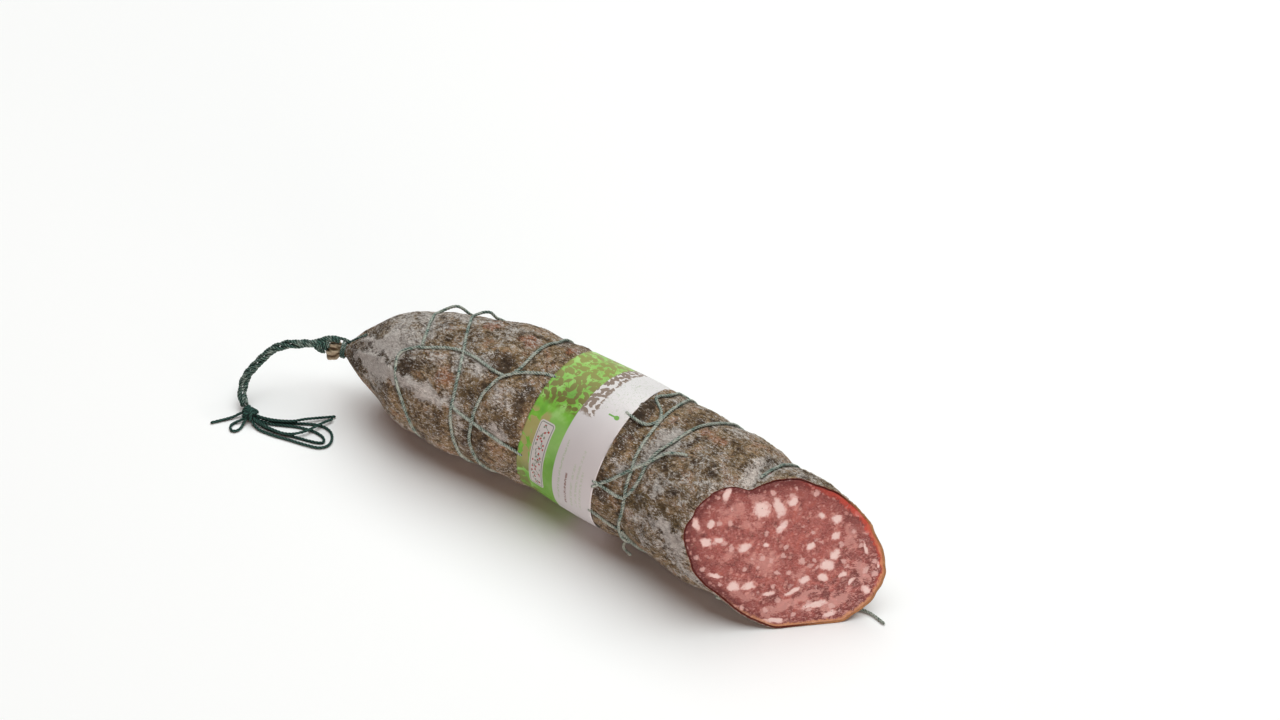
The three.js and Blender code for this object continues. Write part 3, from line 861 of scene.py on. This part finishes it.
# paper band
band = {
    "start": 128.9, "end": 180.3, "tilt": 2.2, "tiltAngle": -45, "seamAngle": 205, "overlap": 14,
    "columns": 420, "rows": 60, "lift": 0.5, "underside": 0.7, "lowest": 0.12, "perDegree": 0.707,
    "thickness": 0.16,
    "greens": [(0.36, (104, 166, 58)), (0.5, (122, 186, 62)), (0.66, (160, 208, 118))],
    # thin rules in place of print: across, start and end around, strength
    "rules": [
        (32, 35, 73, 0.45), (35.8, 52, 73, 0.8), (39, 45, 73, 0.3), (41.4, 36, 72, 0.3),
        (43.6, 47, 73, 0.3)],
}


def buildBand():
    s = band

    def laid(u, v):  # angle and x of a spot on the paper
        angle = s["seamAngle"] + (360 + s["overlap"]) * u
        tilt = s["tilt"] * math.cos(math.radians(angle - s["tiltAngle"]))
        return angle, s["start"] + (s["end"] - s["start"]) * v + tilt

    def spot(u, v):
        angle, x = laid(u, v)
        base = skin(x, angle, 0, s["underside"])
        lift = s["lift"] + 0.25 * smooth(u, 0.955, 0.965)  # the end laps over the start
        lift += 0.25 * noise.noise(base / 24 + Vector((1, 5, 2)))
        lift += 0.18 * smooth(abs(v - 0.5), 0.42, 0.5) * noise.noise(base / 9)
        point = base + outward(x, angle) * lift
        point.z = max(point.z, s["lowest"])
        return point, ()

    def uvs(u, v):  # millimetres round from the top and across from the edge, in hundreds
        angle, x = laid(u, v)
        return (angle - 360) * s["perDegree"] / 100, (x - body["bandStart"]) / 100

    return wrapGrid("band", s["columns"], s["rows"], spot, (), False, uvs)


def bandMaterial():
    look = Shader("printedPaper", Roughness=0.5, Specular_IOR_Level=0.35)
    uv = look.node("ShaderNodeUVMap", {"uv_map": "print"})
    spot = look.node("ShaderNodeVectorMath", {"operation": "SCALE"}, {0: uv, "Scale": 100.0})  # millimetres
    around, across = look.parts(spot)
    rag = look.noise(spot, 2.2, 3, 0.7)

    def zone(value, low, high, blur=1.5):  # 1 between low and high
        return look.step(value, low - blur, low + blur) * look.step(value, high + blur, high - blur)

    def leaves(size, keep, length, width, seed):  # pointed leaves, one to a cell, each turned its own way
        moved = look.vectorMaths("ADD", spot, (seed, seed * 0.7, 0))
        hub = look.cells(moved, size, 0.9, "Position", True)
        chance, turn = look.parts(look.cells(moved, size, 0.9, "Color", True), "Color")
        dx, dy = look.parts(look.vectorMaths("SUBTRACT", moved, hub))
        angle = turn * 6.28
        cosine, sine = angle.apply("COSINE"), angle.apply("SINE")
        lengthwise, sideways = dx * cosine + dy * sine, abs(dy * cosine - dx * sine)
        shape = 1 - lengthwise * lengthwise * (1 / length ** 2) - sideways * (1 / width)
        return look.step(shape + (rag - 0.5) * 0.7, 0, 0.1) * look.step(chance, keep, keep + 0.01)

    def panel(middleAround, middleAcross, halfAround, halfAcross, corner):  # a rounded plate, above 0 inside
        outAround = abs(around - middleAround) - (halfAround - corner)
        outAcross = abs(across - middleAcross) - (halfAcross - corner)
        beyond = outAround.apply("MAXIMUM", 0.0) ** 2 + outAcross.apply("MAXIMUM", 0.0) ** 2
        return corner - beyond.apply("SQRT")

    crown = look.step(around + (rag - 0.5) * 6, 25, 20)
    paintedTopLight = look.step(around, 22, -8)  # painted light: the print is made paler over the crown, the top of the band
    pale = zone(around, 29, 48, 5) * zone(across, 12, 40, 4)
    twigs = look.threads(spot, 6, 0.022, 1.2, 0.01, 2, 0.5)
    foliage = leaves(6.4, 0.12, 3.5, 1.9, 0) + leaves(4.4, 0.2, 2.4, 1.3, 31) + twigs * 0.8
    foliage = look.step(foliage, 0.3, 0.6) * crown
    tan = look.step(leaves(9, 0.25, 7.5, 3.6, 57) + leaves(6, 0.4, 4.6, 2.4, 11), 0.3, 0.7)
    low = look.step(around, 26, 30) * look.step(across + (rag - 0.5) * 8, 17, 13)
    greens = look.coats(
        look.ramp(look.noise(spot, 12, 3, 0.55), *band["greens"]),
        (pale * 0.7, (150, 196, 112)),
        (look.step(around, 48, 58) * zone(across, 14, 40, 3) * 0.7, (116, 170, 52)),
        # painted light: the greens and the leaves are paler over the top of the band
        (paintedTopLight * 0.4, (186, 226, 138)),
        (foliage * 0.85, look.mix(paintedTopLight, (108, 82, 44), (146, 140, 78))),
        (tan * low * 0.75, look.mix(look.step(around, 56, 66), (182, 156, 112), (120, 108, 58))))
    contour = look.threads(spot, 4.4, 0.016, 1.8, 0.006, 2, 0.5) * look.step(around, 16, 12)
    fringeZone = look.step(across + (rag - 0.5) * 4, 36.5, 35.5)
    fringeZone = fringeZone * look.step(around + (rag - 0.5) * 7, 21, 18)
    fringe = leaves(3.4, 0.12, 2.3, 1.3, 83) + leaves(2.6, 0.3, 1.7, 0.9, 5)
    fringe = look.step(fringe, 0.3, 0.6) * fringeZone
    paper = look.coats(
        look.mix(look.noise(spot, 30, 2), (202, 197, 198), (218, 213, 214)),
        # painted light: the paper is whiter over the top of the band
        (look.step(around, 22, -6) * 0.7, (236, 234, 234)),
        (contour * 0.45, (150, 172, 128)),
        (fringeZone * 0.6, (226, 221, 219)),
        (fringe * 0.85, (116, 92, 70)))
    for at, start, end, tone in band["rules"]:
        ink = (132, 92, 80) if tone > 0.7 else (150, 182, 122)
        rule = look.step(abs(across - at), 0.75, 0.35) * zone(around, start, end, 0.5)
        paper = look.mix(rule * look.step(look.noise(spot, 1.1, 1), 0.42, 0.55) * tone, paper, ink)
    plate = panel(53, 15.4, 20.6, 5.5, 2.0)
    edgeLine = look.step(abs(plate - 0.75), 0.34, 0.2)
    swing, curl = (around * 0.72).apply("SINE"), (around * 1.9).apply("SINE")
    vine = look.step(abs(across - 15.4 - swing * 1.9 - curl * 0.7), 0.5, 0.25) * look.step(plate, 1.6, 1.8)
    sprig = leaves(2.9, 0.35, 1.1, 0.75, 19) * look.step(plate, 1.5, 1.8)
    berries = look.step(look.cells(spot, 3.6, 0.8, flat=True), 0.2, 0.14) * look.step(plate, 1.8, 2.0)
    drop = look.step(panel(13.8, 47, 1.4, 1.5, 1.4), 0, 0.25)
    drop = drop + look.step(panel(13.8, 44.6, 0.55, 2.4, 0.5), 0, 0.2)
    fibre = look.noise(spot, 0.4, 3, 0.6)
    colour = look.coats(
        paper,
        (look.step(across, 28.2, 27.9), greens),
        (look.step(plate, -0.4, -0.2), (214, 208, 205)),
        (edgeLine * 0.75, (82, 100, 80)),
        (look.step(vine + sprig * 0.7, 0.3, 0.8) * 0.75, (84, 110, 78)),
        (berries * look.step(plate, 4.6, 4.2), (178, 60, 52)),
        (look.step(drop, 0.2, 0.6), (108, 166, 66)),
        (fibre * 0.1, (90, 86, 80)))
    return look.finish(Base_Color=colour, Roughness=look.step(fibre, 0.2, 0.8, 0.42, 0.58),
                       Normal=look.bump(fibre + look.noise(spot, 9, 2) * 2, 0.12, 0.5))


paper = finishMesh("paperBand", buildBand(), bandMaterial())
thickness = paper.modifiers.new("paperThickness", "SOLIDIFY")
thickness.thickness = band["thickness"] * mm
thickness.offset = -1
register(paper, "band", "paper_band")
print("band made")


# twine and cord materials
def stringMaterial(name, dark, light, dust, dustiness):
    look = Shader(name, Roughness=0.7, Specular_IOR_Level=0.4)
    point = look.position()
    ply = look.attribute("ply")
    fibre = look.noise(look.position((0.35, 1, 1)), 0.22, 3, 0.6, 0.8)
    fluff = look.noise(point, 0.9, 2, 0.6)
    patch = look.noise(point, 3.2, 3, 0.6)
    # painted shade: the grooves between the plies (ply near 0) get the dark colour, the crests the lighter
    # one
    colour = look.mix(look.step(ply * 0.8 + (fibre - 0.5) * 0.9, 0.28, 0.85), dark, light)
    dusty = patch * 0.45 + fibre * 0.3 + fluff * 0.25 + ply * 0.08
    dusty = look.step(dusty, 0.64 - dustiness * 0.25, 0.74 - dustiness * 0.2)
    colour = look.mix(dusty * min(dustiness + 0.2, 1), colour, dust)
    return look.finish(Base_Color=colour, Normal=look.bump(fibre + ply * 1.5, 0.35, 0.9))


# the first colour of each string is painted shade for the ply grooves
mouldyTwine = stringMaterial("mouldyTwine", (36, 58, 52), (128, 158, 147), (190, 196, 184), 0.66)
greenTwine = stringMaterial("greenTwine", (6, 30, 28), (40, 88, 78), (120, 150, 138), 0.12)
dustyCord = stringMaterial("dustyCord", (10, 32, 29), (70, 112, 100), (176, 190, 180), 0.42)

# lacing
lacing = {"lift": 0.45, "diameter": 1.75, "wobble": 0.35, "lowest": 0.9, "looseDiameter": 1.6}


def twinePiece(node, bm):
    register(finishMesh(node.replace("_", "") + "Twine", bm, mouldyTwine), "twine", node)


def buildLacing():
    for node, line in lacingLines(lacing["lift"]).items():
        line = curveThrough(line, yarn["step"])
        line = [p + noise.noise_vector(p / 9) * lacing["wobble"] for p in line]
        for p in line:
            p.z = max(p.z, lacing["lowest"])
        twinePiece(node, yarnMesh(node, line, lacing["diameter"]))


looseEnds = {
    "knotted_tail": [
        (196.8, -17.2, 15.8), (195.8, -18.6, 14), (196, -19.8, 12), (197.8, -19.9, 10), (200.6, -19.3, 8)],
    "cut_twine_end": [(306, 20.5, 1.1), (313, 24, 1.1), (321, 25.2, 1.1), (331, 23.4, 1.1)],
}


def buildLooseEnds():
    for node, route in looseEnds.items():
        twinePiece(node, yarnMesh(node, curveThrough(route, 0.5), lacing["looseDiameter"]))


buildLacing()
buildLooseEnds()
print("lacing made")

# hanging cord, its knots and the bow
cordRoute = [
    (-4.2, -6.9, 41.0), (-8, -8.8, 41.4), (-12.2, -11.6, 39.9), (-17.1, -15.1, 37.6), (-22.8, -18.1, 36.6),
    (-30.2, -22.5, 35), (-36, -26.3, 32), (-40.1, -30.8, 27), (-43.3, -34.7, 22), (-46.2, -38.8, 16.5),
    (-46.3, -42.9, 11), (-44.6, -46.6, 7), (-39.2, -50.2, 4.4)]
cord = {"diameter": 5.0, "strands": 5, "strandDiameter": 1.75, "pitch": 30, "spread": 1.75, "step": 0.6,
        "bowDiameter": 1.6, "knotDiameter": 1.9, "tieDiameter": 1.8, "strandPitch": 6.0, "floorHeight": 0.95}
bowRoutes = {
    "bow_loop_outer": [
        (-30, -55.6, 3.0), (-27.2, -56.6, 1.6), (-22.7, -57.2), (-14.1, -55.9), (-5, -53.6), (5.1, -51.2),
        (11.9, -48.8), (14.9, -45), (14.2, -40.5), (10.5, -36.2), (5, -34.6), (-1, -36), (-8, -40),
        (-15, -44.5), (-21, -47.6), (-27.2, -50.0, 1.6), (-30.5, -51.2, 3.0)],
    "bow_loop_inner": [
        (-30, -54.4, 3.2), (-26.8, -54.4, 1.6), (-17.9, -53.6), (-9, -51.3), (0, -49), (8, -46.6),
        (11.3, -44), (8, -41), (0.8, -40.8), (-7.8, -43.2), (-15.5, -47), (-21, -49.9), (-26.8, -52, 1.6),
        (-30.5, -52.4, 3.0)],
    "bow_end_upper": [
        (-30.5, -51.8, 4.2), (-27, -50.9, 3.6), (-20, -48, 3.1), (-11.9, -42.6, 2.7), (-6.9, -37, 2.7),
        (-1, -30.5, 2.0), (3.9, -24.5, 1.0)],
    "bow_end_lower": [
        (-30, -54.4, 4.4), (-27, -54.9, 3.7), (-18, -54.2, 2.8), (-10, -52.8, 2.6), (-4.5, -49.5, 2.7),
        (-0.4, -43, 2.6), (2.4, -34.4, 2.7), (4.4, -27.4, 1.6)],
    "small_loop": [
        (-34.6, -56, 3), (-36.2, -58.4, 1.8), (-38, -61, 1), (-38.2, -64), (-36, -66.4), (-33.4, -65.6),
        (-32.6, -62.5, 1), (-33.4, -58.6, 1.8), (-33.8, -56, 3.2)],
    "cord_end": [
        (-36.6, -53.4, 3.4), (-39.4, -54.8, 2.4), (-41.5, -58.4, 1.4), (-45.9, -64.6), (-48.9, -68.8)],
}


def joined(parts):  # several meshes as one
    whole = parts[0]
    for part in parts[1:]:
        mesh = bpy.data.meshes.new("part")
        part.to_mesh(mesh)
        part.free()
        whole.from_mesh(mesh)
        bpy.data.meshes.remove(mesh)
    return whole


def strand(route, diameter, step=0.5):
    return yarnMesh("strand", curveThrough(route, step), diameter, cord["strandPitch"])


def buildCord():
    line = curveThrough(cordRoute, cord["step"])
    frames = framesAlong(line)
    parts = []
    for k in range(cord["strands"]):
        route = []
        for i, (point, (side, up)) in enumerate(zip(line, frames)):
            turn = 2 * math.pi * (k / cord["strands"] + i * cord["step"] / cord["pitch"])
            turn += 0.5 * noise.noise(Vector((i * 0.03, k * 7, 0)))
            spread = cord["spread"] * (1 + 0.5 * noise.noise(Vector((i * 0.05, k * 3, 5))))
            spread *= 0.62 + 0.38 * smooth(i, 6, 40)
            route.append(point + (side * math.cos(turn) + up * math.sin(turn)) * spread)
        parts.append(strand(route[::2], cord["strandDiameter"], cord["step"]))
    return joined(parts)


def coil(middle, axis, radius, turns, spacing, stretch):  # wraps of a strand round an axis
    axis = Vector(axis).normalized()
    side = axis.orthogonal().normalized()
    up = axis.cross(side)
    count = int(turns * 14)
    points = []
    for i in range(count + 1):
        turn = 2 * math.pi * turns * i / count
        off = (i / count - 0.5) * spacing * turns
        ring = side * math.cos(turn) + up * math.sin(turn) * stretch
        points.append(Vector(middle) + axis * off + ring * radius)
    return points


# wraps and windings: middle, axis, radius, turns, spacing, stretch upwards; cores: middle, size
knotShape = {
    "wraps": ((-34.4, -52.6, 3.9), (0.75, -0.3, -0.15), 2.7, 3.2, 1.7, 1.0),
    "over": [
        [(-37.5, -51.5, 5.2), (-35, -51.5, 6.8), (-32.6, -53.2, 6.9), (-31, -55.6, 5.2), (-30.4, -56.4, 3)],
        [(-36.4, -56.3, 2.6), (-34.6, -54.9, 5.6), (-33, -52.4, 6.8), (-32, -50.2, 5.6),
         (-30.6, -49.4, 3.4)]],
    "core": ((-33.8, -53, 3.7), (3.6, 3.1, 2.8)),
}


def buildKnot():
    s = knotShape
    parts = [strand(route, cord["knotDiameter"]) for route in (coil(*s["wraps"]), *s["over"])]
    return joined([*parts, roughBall(*s["core"])])


def roughBall(middle, size):  # fills the inside of a knot
    core = bmesh.new()
    bmesh.ops.create_icosphere(core, subdivisions=4, radius=1)
    # ply stays 0, so the core takes the painted groove shade of the string material all over
    core.verts.layers.float.new("ply")
    for vert in core.verts:
        bump = 1 + 0.1 * noise.noise(vert.co * 2.5)
        vert.co = place([m + c * r * bump for m, c, r in zip(middle, vert.co, size)])
    return core


tieShape = {
    "winding": ((-1.6, -7.2, 35.7), (1, 0.37, -0.15), 4.4, 1.6, 1.4, 1.0), "windingDiameter": 1.3,
    "wraps": ((-12.6, -11.9, 36.8), (0.8, 0.52, 0.1), 2.6, 3.4, 1.9, 1.15),
    "over": [
        [(0.5, -4.6, 40.4), (-2.5, -5.2, 41.3), (-6, -6.8, 41.4), (-9.5, -9.2, 40.6), (-13, -11.6, 39.4),
         (-16.4, -14.4, 38)],
        [(-17, -15.4, 37.4), (-14.8, -15.4, 35.6), (-12.4, -14.6, 34), (-11, -12.6, 32.6)]],
    # a strand on the casing: x, angle
    "onCasing": [(0.5, -12), (4, -6), (8, -2), (12, 2)],
    "core": ((-12.6, -11.9, 36.8), (3.6, 3.0, 3.0)),
}


def buildTie():
    s = tieShape
    parts = [yarnMesh("tie", curveThrough(coil(*s["winding"]), 0.5), s["windingDiameter"])]
    onCasing = [skin(x, angle, 0.5) for x, angle in s["onCasing"]]
    parts += [strand(route, cord["tieDiameter"]) for route in (coil(*s["wraps"]), *s["over"], onCasing)]
    return joined([*parts, roughBall(*s["core"])])


def buildCordPieces():
    knot = finishMesh("cordKnot", buildKnot(), greenTwine)
    register(knot, "cord", "cord_knot")
    register(finishMesh("neckTie", buildTie(), dustyCord), "cord", "neck_tie")
    for node, route in bowRoutes.items():
        bm = strand(filled(route, cord["floorHeight"]), cord["bowDiameter"], yarn["step"])
        piece = finishMesh(node.replace("_", "") + "String", bm, greenTwine)
        register(piece, "cord", node)
    hanging = finishMesh("hangingCord", buildCord(), dustyCord)
    register(hanging, "cord", "hanging_cord")
    path = [place(p) for p in curveThrough(cordRoute, 3.0)]
    length = sum((b - a).length for a, b in zip(path, path[1:]))
    print("cord length", round(length, 4))
    tuple(path[0])
    [tuple(p) for p in path]


buildCordPieces()
print("cord made")

# floor and light
# lamps: right, back and up from the middle in metres, power, width, height, colour
studio = {
    "floor": srgb(249, 250, 250), "floorSize": 6, "world": 0.1, "worldColour": (1.0, 0.42, 0.3, 1),
    "middle": (0.14, 0, 0.03),
    "lamps": {"key": (0.5, 1.0, 4.1, 268, 5.2, 5.2, (0.94, 1.0, 1.0)),
              "fill": (2.2, -3.7, 0.26, 116, 2.6, 0.5, (1.0, 0.87, 0.81))},
}


def buildStudio(s):
    bm = bmesh.new()
    bmesh.ops.create_grid(bm, x_segments=1, y_segments=1, size=s["floorSize"])
    look = Shader("paleFloor", Base_Color=s["floor"], Roughness=0.6)
    floor = finishMesh("floor", bm, look.material)
    world = bpy.data.worlds.new("studio")
    world.use_nodes = True
    world.node_tree.nodes["Background"].inputs["Color"].default_value = s["worldColour"]
    world.node_tree.nodes["Background"].inputs["Strength"].default_value = s["world"]
    bpy.context.scene.world = world
    turn = math.radians(viewSettings["azimuth"])
    right = Vector((math.cos(turn), math.sin(turn), 0))
    back = Vector((-math.sin(turn), math.cos(turn), 0))
    for name, (toRight, toBack, up, power, width, height, colour) in s["lamps"].items():
        spot = right * toRight + back * toBack + Vector((0, 0, up))
        lamp = bpy.data.objects.new(name, bpy.data.lights.new(name, "AREA"))
        lamp.data.shape = "RECTANGLE"
        lamp.data.energy = power
        lamp.data.size = width
        lamp.data.size_y = height
        lamp.data.color = colour
        lamp.location = Vector(s["middle"]) + spot
        lamp.rotation_euler = (-spot).to_track_quat("-Z", "Y").to_euler()
        bpy.context.collection.objects.link(lamp)
    bpy.context.scene.view_settings.view_transform = "Standard"


buildStudio(studio)
print("studio made")
